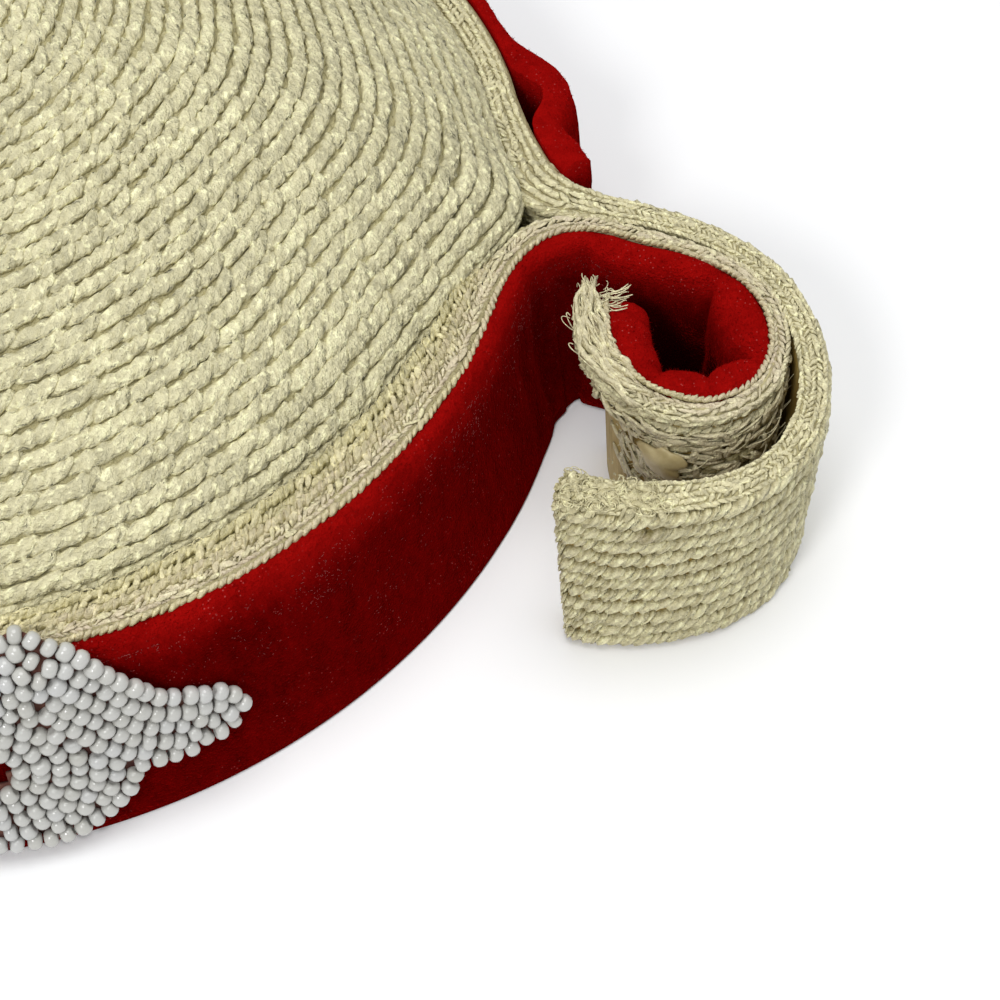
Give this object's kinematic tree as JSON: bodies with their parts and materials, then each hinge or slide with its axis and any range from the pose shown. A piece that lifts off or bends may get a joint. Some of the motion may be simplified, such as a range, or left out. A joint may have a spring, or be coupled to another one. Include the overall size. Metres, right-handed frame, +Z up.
{
  "type": "headband hat",
  "caption": "Small round straw hat: domed braid crown in a velvet-faced standing headband whose ends curl into a side scroll, with a white bead applique in front.",
  "frame": {"origin": "middle of the box round the hat, on the surface that the rim rests on", "axes": "+Z up through the crown, -Y to the front with the applique, +X to the side with the scroll"},
  "size_m": [0.2058, 0.1844, 0.065],
  "materials": {
    "crown_straw": "cream straw braid sewn in a spiral, softly shiny",
    "band_straw": "cream straw braid in rows, worn at the ends",
    "edge_straw": "fine looped straw braid, beige beside the velvet",
    "velvet": "deep red velvet with short pile, darker in the folds",
    "beads": "opaque white glass seed beads, glossy"
  },
  "bodies": {
    "root": {"crown": "crown_straw", "headband": "band_straw", "edge_braid": "edge_straw", "velvet_facing": "velvet", "bead_applique": "beads"}
  },
  "joints": []
}
